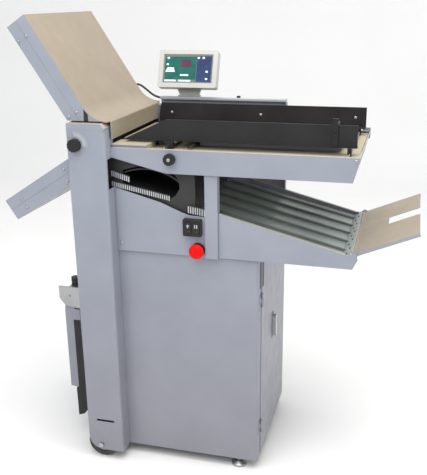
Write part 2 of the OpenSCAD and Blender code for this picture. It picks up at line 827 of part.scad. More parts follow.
module vacuum_pump() color(dark) {
    rod_x(240, 150, 130, 250, 62);
    rod_x(240, 150, 250, 290, 40);
    block([140, 190, 62], [240, 290, 92]);
    rod_z(200, 240, 210, 236, 14);
}

module control_box() color(steel) {
    block([310, 300, 63], [440, 430, 300]);
    for (x = [322 : 12 : 430])
        block([x, 298.5, 90], [x + 5, 300, 270]);
}

module power_inlet() color(dark) difference() {
    block([250, depth, 100], [282, depth + 4, 132]);
    block([254, depth + 1, 104], [278, depth + 5, 122]);
}

// ---------- supports ----------

module levelling_feet() color(pale) for (y = [foot_at.y, foot_rear]) {
    rod_z(foot_at.x, y, 0, 6, 22.5);
    translate([foot_at.x, y, 6]) cylinder(h = 8, r1 = 22.5, r2 = 12);
    rod_z(foot_at.x, y, 14, floor_gap + 24, 6);
    rod_z(foot_at.x, y, 20, floor_gap - 0.2, 11);
}

module wheel_bolt() {
    rod_y(wheel_at, [-5, 0], 7.5);
    rod_y(wheel_at, [0, front_plate[1]], shaft_r);
}

module axle_bolts() color(steel) both_ends() wheel_bolt();

module wheel() {
    hub_y = [wheel_y[0] + 2, wheel_y[1] - 2];
    color(pale) difference() {
        rod_y(wheel_at, hub_y, wheel_r - 15);
        rod_y(wheel_at, hub_y + [-1, 1], shaft_r + run_gap);
    }
    color(rubber) translate([wheel_at.x, 0, wheel_at.y]) rotate([-90, 0, 0]) rotate_extrude($fn = 72) {
        translate([wheel_r - 15, wheel_y[0]]) square([9, wheel_y[1] - wheel_y[0]]);
        translate([wheel_r - 7, wheel_y[0] + 3]) square([7, wheel_y[1] - wheel_y[0] - 6]);
        for (y = [wheel_y[0] + 4, wheel_y[1] - 4])
            translate([wheel_r - 4, y]) circle(4);
    }
}

module wheel_front() wheel();

module wheel_rear() rear_twin() wheel();

module side_tray_brackets() color(steel) {
    for (y = bracket_y)
        slab([y, y + 4]) polygon([
            [0, 430], [0, 500], [-110, 500], [-110, 462], [-92, 440], [-60, 436]
        ]);
    difference() {
        block([clamp_at.x - 13, bracket_y[0] + 4, 497], [clamp_at.x + 13, clamp_at.y + 9, 500]);
        rod_z(clamp_at.x, clamp_at.y, 490, 501, 3 + run_gap);
    }
    rod_y(side_pivot, [bracket_y[0] - 3, bracket_y[1] + 7], 5);
}

module screen_lead() color(dark) tube(lead_route, lead_r);

// ---------- fold plates ----------

module upper_plate_body() color(grey) difference() {
    union() {
        difference() {
            slab(plate_y) polygon([
                upper(up_n0, upper_t(up_n0, up_base)), upper(up_n0, up_t1),
                upper(up_nm, up_t1), upper(up_nm, upper_t(up_nm, up_base))
            ]);
            slab(plate_y + [sheet, -sheet]) polygon([
                upper(up_n0 + sheet, upper_t(up_n0, 980)), upper(up_n0 + sheet, up_t1 - sheet),
                upper(up_nm + 5, up_t1 - sheet), upper(up_nm + 5, upper_t(up_nm, 960))
            ]);
        }
        both_ribs() {
            translate(pivot) circle(boss_r);
            polygon([for (p = [[0, -3], [0, 60], [7, 40], [9, -3]])
                upper(up_n0 + 1 + p[0], e_up * pivot + p[1])]);
        }
        slab(web_y) polygon([for (p = [[-5, 36], [-5, 250], [-3.5, 250], [-3.5, 36]])
            upper(up_nm + p[0], e_up * pivot + p[1])]);
        for (y = [web_y[0], web_y[1] - 4])
            slab([y, y + 4]) channel_web(up_n0, up_nm - 4);
    }
    for (y = [50, rear_plate[0] - 1.5])
        block([-30, y, 990], [14, y + 9.5, 1026]);
    rod_y(pivot, [55, depth - 55], pivot_r + run_gap);
}

module channel_web(n0, n1) polygon([for (p = [[n0 + 1, 60], [n0 + 1, 240], [n1, 240], [n1, 60]])
    upper(p[0], e_up * pivot + p[1])]);

module both_ribs() {
    slab(pivot_rib) children();
    slab([depth - pivot_rib[1], depth - pivot_rib[0]]) children();
}

// Top skin of the upper plate, its curve into the hood, and the hood's wall, as one outline
module hood_outline() {
    meet = upper(up_n1, upper_t(up_n1, up_base));
    centre = meet + [fillet_run, fillet_r];
    steps = 24;
    sweep = (180 - upper_angle) / steps;
    function arc(r) = [for (i = [0 : steps])
        centre + r * [cos(upper_angle + 90 + i * sweep), sin(upper_angle + 90 + i * sweep)]];
    inner = arc(fillet_r + sheet);
    polygon(concat(
        [upper(up_n1 - sheet, up_t1), upper(up_n1, up_t1)], arc(fillet_r),
        [
            [hood_x - 3, up_base], [hood_x - 1, up_base - 1], [hood_x, up_base - 3],
            [hood_x, hood_low], [hood_x - sheet, hood_low], [hood_x - sheet, up_base - sheet]
        ],
        [for (i = [0 : steps]) inner[steps - i]]
    ));
}

module upper_plate_cover() color(tan) {
    nb = up_nm + air;
    skirt_t = upper_t(up_n1, up_base) + fillet_run + 4;
    skirt_x = 44;
    difference() {
        slab(plate_y) hood_outline();
        block([hood_x - 4, plate_y[0] - 1, hood_low - 1], [hood_x + 1, hood_y[0], up_base + 1]);
        block([hood_x - 4, hood_y[1], hood_low - 1], [hood_x + 1, plate_y[1] + 1, up_base + 1]);
    }
    slab(plate_y) polygon([
        upper(nb, up_t1 - sheet), upper(nb, up_t1), upper(up_n1 - 1, up_t1),
        upper(up_n1 - 1, up_t1 - sheet)
    ]);
    for (y = [plate_y[0], plate_y[1] - sheet])
        slab([y, y + sheet]) polygon([
            upper(nb, upper_t(nb, up_base)), upper(nb, up_t1 - 1), upper(up_n1 - 1, up_t1 - 1),
            upper(up_n1 - 1, skirt_t), [skirt_x, up_base + 33.5], [skirt_x, up_base]
        ]);
    for (y = [plate_y[0], plate_y[1] - sheet])
        slab([y, y + sheet]) polygon([for (p = [[12, 0], [56, 0], [36, 4], [24, 9.5], [12, 18]])
            [skirt_x, up_base] + p]);
    for (y = [web_y[0], web_y[1] - 4])
        slab([y, y + 4]) polygon([for (p = [[3, 70], [3, 240], [upper_thick / 2 - 1, 240],
            [upper_thick / 2 - 1, 70]]) upper(up_nm + p[0], e_up * pivot + p[1])]);
    slab(web_y) polygon([for (p = [[2, 50], [2, 250], [3.6, 250], [3.6, 50]])
        upper(up_nm + p[0], e_up * pivot + p[1])]);
}

module stop_bar(corners) color(steel) slab([90, 344]) polygon(corners);

module upper_stop() stop_bar([for (p = [[-3.2, 130], [-3.2, 144], [1.7, 144], [1.7, 130]])
    upper(up_nm + p[0], e_up * pivot + p[1])]);

module lower_plate_body() color(grey) {
    wall = low_face - sheet;
    difference() {
        slab(plate_y) polygon([
            lower(low_n0, lower_t(low_n0, low_face)), lower(low_n0, low_t1),
            lower(low_nm, low_t1), lower(low_nm, lower_t(low_nm, low_face))
        ]);
        slab(plate_y + [sheet, -sheet]) polygon([
            lower(low_n0 + sheet, lower_t(low_n0 + sheet, wall)), lower(low_n0 + sheet, low_t1 - sheet),
            lower(low_nm + 5, low_t1 - sheet), lower(low_nm + 5, lower_t(low_nm + 5, wall))
        ]);
    }
    slab(neck_y) polygon([
        lower(low_nm - 3.5, neck_t), lower(low_nm - 3.5, lower_t(low_nm - 3.5, -60)),
        lower(low_nm - 2, lower_t(low_nm - 2, -60)), lower(low_nm - 2, neck_t)
    ]);
}

module lower_plate_cover() color(tan) {
    wall = low_face - sheet;
    nb = low_nm + air;
    difference() {
        slab(plate_y) polygon([
            lower(nb, lower_t(nb, low_face)), lower(nb, low_t1),
            lower(low_n1, low_t1), lower(low_n1, lower_t(low_n1, low_face))
        ]);
        slab(plate_y + [sheet, -sheet]) polygon([
            lower(low_nm - 5, lower_t(low_nm - 5, wall)), lower(low_nm - 5, low_t1 - sheet),
            lower(low_n1 - sheet, low_t1 - sheet), lower(low_n1 - sheet, lower_t(low_n1 - sheet, wall))
        ]);
    }
    slab(neck_y) polygon([
        lower(low_nm + 2, neck_t), lower(low_nm + 2, lower_t(low_nm + 2, -60)),
        lower(low_nm + 3.5, lower_t(low_nm + 3.5, -60)), lower(low_nm + 3.5, neck_t)
    ]);
}

module lower_stop() stop_bar([for (p = [[-1.6, -360], [-1.6, -346], [1.6, -346], [1.6, -360]])
    lower(low_nm + p[0], p[1])]);

// ---------- side tray ----------

module side_tray() color(grey) {
    for (y = [side_y[0], side_y[1] - sheet])
        slab([y, y + sheet]) difference() {
            polygon([
                [-90, 478], [-70, 478], [-66, 428], [-51, 428], [-47, 92], [-62, 75],
                [-80, 75], [-80, 168], [-98, 172], [-98, 424]
            ]);
            translate(side_pivot) circle(5 + run_gap);
        }
    block([-98, side_y[0], 172], [-98 + sheet, side_y[1], 424]);
    block([-80, side_y[0], 75], [-80 + sheet, side_y[1], 172]);
    block([-98, side_y[0], 170], [-78, side_y[1], 172]);
}

module clamp_knob() {
    color(dark) rod_z(clamp_at.x, clamp_at.y, 500 + air, 523, 13);
    color(steel) rod_z(clamp_at.x, clamp_at.y, 489, 502, 3);
}

// ---------- screen ----------

module screen_neck() color(pale) difference() {
    union() {
        block([screen_x - 34, bar_y[0] + 1, bar_top + air], [screen_x + 34, tilt_at.x + 6, bar_top + 4]);
        slab([tilt_at.x - 4, tilt_at.x + 4]) translate([screen_x, 0]) polygon([
            [-29, bar_top + 3], [29, bar_top + 3], [37, 1031], [36, tilt_at.y + 6],
            [20, tilt_at.y + 6], [20, 1030.5], [-20, 1030.5], [-20, tilt_at.y + 6],
            [-36, tilt_at.y + 6], [-37, 1031]
        ]);
        rod_z(screen_x, swivel_y, 1003.5, bar_top + 1, swivel_r);
        rod_x(tilt_at.x, tilt_at.y, screen_x - 34, screen_x + 34, 3);
    }
}

module screen_housing() color(pale) translate([screen_x, tilt_at.x, tilt_at.y])
        rotate([-screen_tilt, 0, 0]) {
    front = screen_back - screen_thick;
    low = screen_back;
    difference() {
        slab([front, screen_back]) round_rect([-screen_w / 2, low], [screen_w / 2, low + screen_h], 6);
        slab([front - 1, front + 2]) round_rect([-77, low + 14], [77, low + 100], 1.5);
    }
    difference() {
        union() {
            rod_x(0, 0, -19, 19, 6);
            block([-19, screen_back - 0.5, -4], [19, 0, 5.5]);
        }
        rod_x(0, 0, -20, 20, 3 + run_gap);
    }
}

// ---------- assembly ----------

place() base_frame();
place() side_plates();
place() column_cover_front();
place() column_cover_rear();
place() column_caps();
place() tower_panel();
place() mid_panel();
place() rear_panel();
place() top_bar();
place() table_post();
place() cabinet_shell();
place() operator_housings();
place() table_rails();
place() table_surface();
place() feed_bed();
place() guide_rods();
place() tray_sides();
place() tray_floor();
place() tray_ribs();
place() delivery_strips();
place() delivery_chute();
place() drive_motor();
place() drive_belt();
place() vacuum_pump();
place() control_box();
place() power_inlet();
place() levelling_feet();
place() axle_bolts();
place() side_tray_brackets();
place() screen_lead();
place() upper_plate_body();
place() upper_plate_cover();
place() upper_stop();
place() lower_plate_body();
place() lower_plate_cover();
place() lower_stop();
place() fold_roller_a();
place() fold_roller_b();
place() fold_roller_c();
place() fold_roller_d();
place() feed_drum();
place() motor_pulley();
place() guide_front();
place() guide_rear();
place() guide_pinion();
place() paper_stop();
place() table_knob();
place() column_knob();
place() tray_extension();
place() start_button();
place() stop_button();
place() estop_head();
place() cabinet_door();
place() door_handle();
place() screen_neck();
place() screen_housing();
place() side_tray();
place() clamp_knob();
place() wheel_front();
place() wheel_rear();
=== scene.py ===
from math import radians, sin, cos, pi

import bmesh
import bpy
from mathutils import Matrix, Vector


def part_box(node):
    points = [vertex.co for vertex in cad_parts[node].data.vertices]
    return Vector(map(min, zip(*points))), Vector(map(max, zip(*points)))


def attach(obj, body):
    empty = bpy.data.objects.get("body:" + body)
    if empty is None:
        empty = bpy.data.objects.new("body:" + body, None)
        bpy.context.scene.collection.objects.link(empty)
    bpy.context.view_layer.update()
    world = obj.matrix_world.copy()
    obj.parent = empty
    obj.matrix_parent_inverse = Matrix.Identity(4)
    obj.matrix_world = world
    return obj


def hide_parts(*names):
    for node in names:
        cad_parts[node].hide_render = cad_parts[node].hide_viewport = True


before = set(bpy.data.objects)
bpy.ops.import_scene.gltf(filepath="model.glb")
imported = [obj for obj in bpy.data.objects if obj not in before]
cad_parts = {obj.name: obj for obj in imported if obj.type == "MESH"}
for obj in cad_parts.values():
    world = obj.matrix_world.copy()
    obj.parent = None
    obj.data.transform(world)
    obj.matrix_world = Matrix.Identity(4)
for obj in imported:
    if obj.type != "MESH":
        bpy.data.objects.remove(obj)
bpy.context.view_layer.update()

# ---------- places ----------

MM = 0.001
# The design's own corner: the front column's left face, its front face, and the floor
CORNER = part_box("column_cover_front")[0]


def at(x, y, z):
    """A point of the design, in millimetres from the front column's corner, in the row frame."""
    return Vector((CORNER.x + x * MM, CORNER.y + y * MM, z * MM))


# ---------- camera ----------

# Fitted to the photo: the eye's place, the way it looks, the lens in millimetres and its sideways shift
EYE = at(851.3, -1666.4, 1296.3)
YAW, PITCH, ROLL = radians(15.32), radians(18.51), radians(-0.68)
LENS = 54.46
SHIFT_X = -0.0055


def add_camera():
    forward = Vector((-sin(YAW) * cos(PITCH), cos(YAW) * cos(PITCH), -sin(PITCH)))
    level = Vector((cos(YAW), sin(YAW), 0))
    above = level.cross(forward)
    right = level * cos(ROLL) + above * sin(ROLL)
    up = above * cos(ROLL) - level * sin(ROLL)
    camera = bpy.data.objects.new("camera", bpy.data.cameras.new("camera"))
    bpy.context.scene.collection.objects.link(camera)
    turn = Matrix((right, up, -forward)).transposed().to_4x4()
    camera.matrix_world = Matrix.Translation(EYE) @ turn
    camera.data.lens = LENS
    camera.data.shift_x = SHIFT_X
    camera.data.clip_end = 50
    bpy.context.scene.camera = camera
    bpy.context.scene.view_settings.view_transform = "Standard"


add_camera()

# ---------- node materials ----------


def shade_nodes(name):
    m = bpy.data.materials.new(name)
    m.use_nodes = True
    tree = m.node_tree
    return m, tree, tree.nodes["Principled BSDF"]


def coordinates(tree, kind):
    """The object's own coordinates or normals, apart in X, Y and Z."""
    place = tree.nodes.new("ShaderNodeTexCoord")
    apart = tree.nodes.new("ShaderNodeSeparateXYZ")
    tree.links.new(place.outputs[kind], apart.inputs["Vector"])
    return apart


def colour_mix(tree, fac, a, b=None, blend="MIX"):
    mix = tree.nodes.new("ShaderNodeMix")
    mix.data_type = "RGBA"
    mix.blend_type = blend
    tree.links.new(fac, mix.inputs["Factor"])
    tree.links.new(a, mix.inputs["A"])
    if b:
        tree.links.new(b, mix.inputs["B"])
    return mix


def math(tree, kind, a, b):
    made = tree.nodes.new("ShaderNodeMath")
    made.operation = kind
    for i, value in enumerate((a, b)):
        if isinstance(value, (int, float)):
            made.inputs[i].default_value = value
        else:
            tree.links.new(value, made.inputs[i])
    return made.outputs["Value"]


def noise(tree, scale, detail=3.0, stretch=(1, 1, 1)):
    place = tree.nodes.new("ShaderNodeTexCoord")
    mapped = tree.nodes.new("ShaderNodeMapping")
    mapped.inputs["Scale"].default_value = stretch
    made = tree.nodes.new("ShaderNodeTexNoise")
    made.inputs["Scale"].default_value = scale
    made.inputs["Detail"].default_value = detail
    tree.links.new(place.outputs["Object"], mapped.inputs["Vector"])
    tree.links.new(mapped.outputs["Vector"], made.inputs["Vector"])
    return made.outputs["Fac"]


# The part of the noise's range that a drift runs over
NOISE_LOW, NOISE_HIGH = 0.3, 0.7


def ramp(tree, fac, low, high):
    """A colour that drifts from low to high with the noise."""
    made = tree.nodes.new("ShaderNodeValToRGB")
    made.color_ramp.elements[0].position = NOISE_LOW
    made.color_ramp.elements[1].position = NOISE_HIGH
    made.color_ramp.elements[0].color = (*low, 1)
    made.color_ramp.elements[1].color = (*high, 1)
    tree.links.new(fac, made.inputs["Fac"])
    return made.outputs["Color"]


def spread(tree, fac, low, high):
    """A value that drifts from low to high with the noise."""
    made = tree.nodes.new("ShaderNodeMapRange")
    made.inputs["From Min"].default_value = NOISE_LOW
    made.inputs["From Max"].default_value = NOISE_HIGH
    made.inputs["To Min"].default_value = low
    made.inputs["To Max"].default_value = high
    tree.links.new(fac, made.inputs["Value"])
    return made.outputs["Result"]


def grained(tree, strength, depth, grain, stretch=(1, 1, 1)):
    """A bump from fine noise."""
    bumps = tree.nodes.new("ShaderNodeBump")
    bumps.inputs["Strength"].default_value = strength
    bumps.inputs["Distance"].default_value = depth
    tree.links.new(noise(tree, grain, 2.0, stretch), bumps.inputs["Height"])
    return bumps


# How fine the slow drift of a paint's colour is
DRIFT = 9.0


def finish_of(name, low, high, rough, metal=0.0, scale=DRIFT, grain=700.0, bump=0.08,
              stretch=(1, 1, 1), edge=0.0012, coat=0.0, shine=0.5):
    """A finish whose colour and roughness drift over the surface, with a fine grain and softened edges."""
    m, tree, shader = shade_nodes(name)
    tree.links.new(ramp(tree, noise(tree, scale), low, high), shader.inputs["Base Color"])
    tree.links.new(spread(tree, noise(tree, scale * 3.1, 5.0, stretch), *rough), shader.inputs["Roughness"])
    shader.inputs["Metallic"].default_value = metal
    shader.inputs["Coat Weight"].default_value = coat
    shader.inputs["Specular IOR Level"].default_value = shine
    bumps = grained(tree, bump, 0.0004, grain, stretch)
    if edge:
        soft = tree.nodes.new("ShaderNodeBevel")
        soft.samples = 4
        soft.inputs["Radius"].default_value = edge
        tree.links.new(soft.outputs["Normal"], bumps.inputs["Normal"])
    tree.links.new(bumps.outputs["Normal"], shader.inputs["Normal"])
    return m


def shaded_towards_floor(m, foot, head, tint):
    """Paints shade into a paint: it goes warmer and darker towards the floor, full tint at height foot, none
    at head.
    """
    tree = m.node_tree
    shader = tree.nodes["Principled BSDF"]
    skin = shader.inputs["Base Color"].links[0].from_socket
    height = tree.nodes.new("ShaderNodeMapRange")
    height.inputs["From Min"].default_value = foot
    height.inputs["From Max"].default_value = head
    height.inputs["To Min"].default_value = 1.0
    height.inputs["To Max"].default_value = 0.0
    tree.links.new(coordinates(tree, "Object").outputs["Z"], height.inputs["Value"])
    mix = colour_mix(tree, height.outputs["Result"], skin, blend="MULTIPLY")
    mix.inputs["B"].default_value = (*tint, 1)
    tree.links.new(mix.outputs["Result"], shader.inputs["Base Color"])
    return m


# Both tests mark the faces that keep the plain paint; the other faces get painted warm top light
# How much of its normal has to lie along Y for a face to look forward or back, and along Z to look up
FRONT_SHARE, UP_SHARE = 0.8, 0.35


def faces_front(tree, normal):
    """Holds on faces that look to the front or the back."""
    return math(tree, "GREATER_THAN", math(tree, "ABSOLUTE", normal.outputs["Y"], 0.0), FRONT_SHARE)


def not_upward(tree, normal):
    """Holds on faces that don't look up."""
    return math(tree, "LESS_THAN", normal.outputs["Z"], UP_SHARE)


def painted_top_light(name, top, side, rough, turned_away):
    """A sheet in two colours: the first on its skin, the second where the test of its normal holds. The first
    is painted warm top light, the second the sheet's own paint.
    """
    m = finish_of(name, *top, rough, coat=0.1)
    tree = m.node_tree
    shader = tree.nodes["Principled BSDF"]
    skin = shader.inputs["Base Color"].links[0].from_socket
    fac = turned_away(tree, coordinates(tree, "Normal"))
    mix = colour_mix(tree, fac, skin, ramp(tree, noise(tree, DRIFT), *side))
    tree.links.new(mix.outputs["Result"], shader.inputs["Base Color"])
    return m


def two_part(name, test, inner, outer):
    """Two finishes on one node: the outer one shows where the test of its coordinates holds."""
    m, tree, shader = shade_nodes(name)
    fac = test(tree, coordinates(tree, "Object"))
    inner_skin, outer_skin = (ramp(tree, noise(tree, 30), *part["colour"]) for part in (inner, outer))
    mix = colour_mix(tree, fac, inner_skin, outer_skin)
    tree.links.new(mix.outputs["Result"], shader.inputs["Base Color"])
    for socket, key in (("Roughness", "rough"), ("Metallic", "metal")):
        blend = tree.nodes.new("ShaderNodeMapRange")
        blend.inputs["To Min"].default_value = inner[key]
        blend.inputs["To Max"].default_value = outer[key]
        tree.links.new(fac, blend.inputs["Value"])
        tree.links.new(blend.outputs["Result"], shader.inputs[socket])
    bumps = grained(tree, 0.1, 0.0003, 900)
    tree.links.new(bumps.outputs["Normal"], shader.inputs["Normal"])
    return m


def beyond_y(limit):
    """Holds past one Y."""
    return lambda tree, apart: math(tree, "GREATER_THAN", apart.outputs["Y"], limit)


def outside_radius(centre, radius):
    """Holds further than the radius from an axis along Y."""
    def test(tree, apart):
        dx = math(tree, "SUBTRACT", apart.outputs["X"], centre.x)
        dz = math(tree, "SUBTRACT", apart.outputs["Z"], centre.z)
        square = math(tree, "ADD", math(tree, "MULTIPLY", dx, dx), math(tree, "MULTIPLY", dz, dz))
        return math(tree, "GREATER_THAN", square, radius * radius)
    return test


def glow(name, low, high, strength):
    """A smooth finish that gives off a little light of its own colour."""
    m, tree, shader = shade_nodes(name)
    colour = ramp(tree, noise(tree, 45), low, high)
    tree.links.new(colour, shader.inputs["Base Color"])
    tree.links.new(colour, shader.inputs["Emission Color"])
    shader.inputs["Emission Strength"].default_value = strength
    shader.inputs["Specular IOR Level"].default_value = 0.15
    tree.links.new(spread(tree, noise(tree, 60), 0.18, 0.26), shader.inputs["Roughness"])
    return m


# Paints: the two ends of each one's drift of colour, then of its roughness
GREY = ((0.270, 0.292, 0.350), (0.300, 0.322, 0.382))
# The tan, cream and edge colours are painted warm top light, not the sheets' own paint, which is GREY
TAN_TOP_LIGHT = ((0.295, 0.247, 0.187), (0.322, 0.270, 0.205))
CREAM_TOP_LIGHT = ((0.42, 0.375, 0.27), (0.46, 0.41, 0.30))
EDGE_TOP_LIGHT = ((0.42, 0.38, 0.30), (0.46, 0.42, 0.34))
SATIN = (0.38, 0.52)
# The panel paint's painted shade is warmest and darkest at the first height and gone at the second
FLOOR_SHADE_FROM, FLOOR_SHADE_TO = 0.05, 0.75
FLOOR_SHADE_TINT = (0.84, 0.785, 0.76)
# Painted shade: the panel paint goes darker and warmer towards the floor
PANEL = shaded_towards_floor(finish_of("panel_paint", *GREY, SATIN, coat=0.1), FLOOR_SHADE_FROM, FLOOR_SHADE_TO, FLOOR_SHADE_TINT)
# Sheets with painted warm top light, and their own grey paint on the faces the test marks
TOP_LIT_TAN = painted_top_light("warm_top_light_paint", TAN_TOP_LIGHT, GREY, (0.4, 0.55), faces_front)
TOP_LIT_CREAM = painted_top_light("table_top_light_paint", CREAM_TOP_LIGHT, GREY, (0.35, 0.5), faces_front)
TOP_LIT_EDGED = painted_top_light("panel_paint_top_lit", EDGE_TOP_LIGHT, GREY, SATIN, not_upward)
PALE = finish_of("pale_paint", (0.40, 0.425, 0.46), (0.45, 0.475, 0.51), (0.35, 0.5), coat=0.1)
TRAY = finish_of("tray_paint", (0.250, 0.290, 0.285), (0.285, 0.325, 0.315), (0.3, 0.45), coat=0.1)
DARK = finish_of("dark_paint", (0.020, 0.020, 0.022), (0.035, 0.034, 0.034), (0.45, 0.65))

# Metals
STEEL = finish_of("ground_steel", (0.42, 0.42, 0.43), (0.55, 0.55, 0.56), (0.22, 0.38), metal=1.0,
                  grain=500, bump=0.12, stretch=(1, 0.05, 1), edge=0.0004)
IRON = finish_of("sheet_zinc", (0.36, 0.37, 0.38), (0.48, 0.49, 0.50), (0.35, 0.5), metal=0.9, bump=0.1)

# Mouldings, rubber and glass
BLACK = finish_of("black_moulding", (0.014, 0.013, 0.014), (0.024, 0.023, 0.025), (0.35, 0.55),
                  grain=1400, bump=0.15, shine=0.3)
RED = finish_of("red_moulding", (0.70, 0.002, 0.002), (0.78, 0.004, 0.003), (0.42, 0.55),
                bump=0.03, edge=0.0006, shine=0.14)
PLASTIC = finish_of("pale_moulding", (0.47, 0.475, 0.455), (0.52, 0.525, 0.505), (0.4, 0.52),
                    grain=1600, bump=0.12)
RIB = finish_of("rib_moulding", (0.10, 0.13, 0.12), (0.15, 0.18, 0.165), (0.4, 0.55))
RUBBER = finish_of("ground_rubber", (0.045, 0.045, 0.048), (0.075, 0.074, 0.076), (0.6, 0.8),
                   grain=1500, bump=0.3)
CABLE = finish_of("cable_jacket", (0.018, 0.018, 0.020), (0.032, 0.031, 0.033), (0.45, 0.6),
                  grain=1800, bump=0.2, edge=0)
GLASS = finish_of("display_glass", (0.010, 0.012, 0.016), (0.016, 0.019, 0.024), (0.08, 0.14),
                  bump=0.01, edge=0, coat=0.6)

NODE_FINISH = {
    PANEL: [
        "column_cover_front", "column_cover_rear", "tower_panel", "mid_panel", "rear_panel",
        "table_post", "cabinet_shell", "upper_plate_body", "lower_plate_body", "cabinet_door",
        "side_tray"
    ],
    # Painted warm top light on these nodes' upward faces
    TOP_LIT_EDGED: ["table_rails", "tray_sides", "column_caps"],
    TRAY: ["tray_floor"],
    PALE: ["top_bar"],
    # Painted warm top light on these nodes, except for their front and back faces
    TOP_LIT_TAN: ["feed_bed", "upper_plate_cover", "lower_plate_cover", "tray_extension"],
    TOP_LIT_CREAM: ["table_surface"],
    DARK: ["base_frame", "side_plates", "delivery_chute", "drive_motor", "vacuum_pump"],
    BLACK: [
        "operator_housings", "power_inlet", "screen_lead", "guide_front", "guide_rear",
        "paper_stop", "table_knob", "column_knob", "start_button", "stop_button", "clamp_knob"
    ],
    STEEL: [
        "guide_rods", "axle_bolts", "upper_stop", "lower_stop", "guide_pinion", "door_handle",
        "motor_pulley"
    ],
    IRON: ["side_tray_brackets", "control_box", "levelling_feet"],
    RUBBER: ["drive_belt"],
    RED: ["estop_head"],
    RIB: ["tray_ribs"],
    PLASTIC: ["screen_neck", "screen_housing"],
}


def give(node, finish):
    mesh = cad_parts[node].data
    mesh.materials.clear()
    mesh.materials.append(finish)


# Where the rollers' rubber sleeves end and their gears begin, where the strips' bars end, and the wheels' hub
SLEEVE_END = at(0, 382, 0).y
BAR_BACK = at(0, 45.6, 0).y
HUB_RADIUS = 0.028

BARE = {"colour": ((0.40, 0.40, 0.41), (0.52, 0.52, 0.53)), "rough": 0.3, "metal": 1.0}
SLEEVE = {"colour": ((0.045, 0.045, 0.048), (0.07, 0.07, 0.073)), "rough": 0.7, "metal": 0.0}
HUB = {"colour": ((0.45, 0.46, 0.46), (0.55, 0.55, 0.55)), "rough": 0.45, "metal": 0.0}
TREAD = {"colour": ((0.030, 0.030, 0.032), (0.055, 0.055, 0.057)), "rough": 0.65, "metal": 0.0}
BAR = {"colour": ((0.50, 0.52, 0.54), (0.60, 0.62, 0.63)), "rough": 0.35, "metal": 0.3}
GAP = {"colour": ((0.06, 0.065, 0.07), (0.09, 0.095, 0.10)), "rough": 0.6, "metal": 0.3}


def finish_nodes():
    for finish, names in NODE_FINISH.items():
        for name in names:
            give(name, finish)
    geared = two_part("geared_roller", beyond_y(SLEEVE_END), SLEEVE, BARE)
    for name in ("fold_roller_a", "fold_roller_b", "fold_roller_c", "fold_roller_d", "feed_drum"):
        give(name, geared)
    give("delivery_strips", two_part("ribbed_strip", beyond_y(BAR_BACK), BAR, GAP))
    low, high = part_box("wheel_front")
    tyred = two_part("tyred_wheel", outside_radius((low + high) / 2, HUB_RADIUS), HUB, TREAD)
    for name in ("wheel_front", "wheel_rear"):
        give(name, tyred)


finish_nodes()

# ---------- pieces ----------

FRONT = (0, -1, 0)
UP = (0, 0, 1)


def piece(name, mesh, finish, body):
    made = bpy.data.objects.new(name, mesh)
    bpy.context.scene.collection.objects.link(made)
    mesh.materials.append(finish)
    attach(made, body)


def mesh_of(name, build, smooth=True):
    bm = bmesh.new()
    build(bm)
    bmesh.ops.recalc_face_normals(bm, faces=bm.faces)
    mesh = bpy.data.meshes.new(name)
    bm.to_mesh(mesh)
    bm.free()
    if smooth:
        mesh.shade_smooth()
        mesh.set_sharp_from_angle(angle=radians(35))
    return mesh


def lathe(bm, centre, axis, profile, sides=40):
    """Turns a profile of (distance along the axis, radius) about the axis."""
    axis = Vector(axis).normalized()
    side = axis.orthogonal().normalized()
    other = axis.cross(side)
    rings = []
    for along, radius in profile:
        ring = []
        for k in range(sides):
            turn = 2 * pi * k / sides
            ring.append(bm.verts.new(centre + axis * along + (side * cos(turn) + other * sin(turn)) * radius))
        rings.append(ring)
    for a, b in zip(rings, rings[1:]):
        for k in range(sides):
            bm.faces.new((a[k], a[(k + 1) % sides], b[(k + 1) % sides], b[k]))
    bm.faces.new(rings[0])
    bm.faces.new(rings[-1])


def plate(bm, corners, depth):
    """A flat outline of points given the thickness vector depth."""
    near = [bm.verts.new(p) for p in corners]
    far = [bm.verts.new(p + depth) for p in corners]
    bm.faces.new(near)
    bm.faces.new(list(reversed(far)))
    count = len(corners)
    for k in range(count):
        bm.faces.new((near[k], far[k], far[(k + 1) % count], near[(k + 1) % count]))


def turned(name, place, axis, profile, finish, body, sides=40):
    """A piece that is one turned profile."""
    def build(bm):
        lathe(bm, place, axis, profile, sides)
    piece(name, mesh_of(name, build), finish, body)


def flat(name, outlines, depth, finish, body, smooth=True):
    """A piece made of flat plates of one thickness, each an outline of points."""
    def build(bm):
        for corners in outlines:
            plate(bm, corners, depth)
    piece(name, mesh_of(name, build, smooth), finish, body)


def facing(outline, y):
    """An outline of X and Z, in millimetres, at one Y."""
    return [at(x, y, z) for x, z in outline]


def box_of(x0, x1, z0, z1):
    return [(x0, z0), (x1, z0), (x1, z1), (x0, z1)]


def rounded(w, h, r, steps=5):
    """Points of a rectangle with round corners, about its middle."""
    points = []
    for cx, cy, start in ((w / 2 - r, h / 2 - r, 0), (r - w / 2, h / 2 - r, 90),
                          (r - w / 2, r - h / 2, 180), (w / 2 - r, r - h / 2, 270)):
        for k in range(steps + 1):
            turn = radians(start + 90 * k / steps)
            points.append((cx + r * cos(turn), cy + r * sin(turn)))
    return points


# Distance from the seat and radius, from a screw head's rim to its middle
SCREW_HEAD = [(0.0, 0.0042), (0.0012, 0.0041), (0.0022, 0.0033), (0.0027, 0.0018), (0.0028, 0.0004)]
# The fold plates' front faces
PLATE_Y = 16


def screws(name, places, body):
    def build(bm):
        for place in places:
            lathe(bm, place, FRONT, SCREW_HEAD, 20)
    piece(name, mesh_of(name, build), IRON, body)


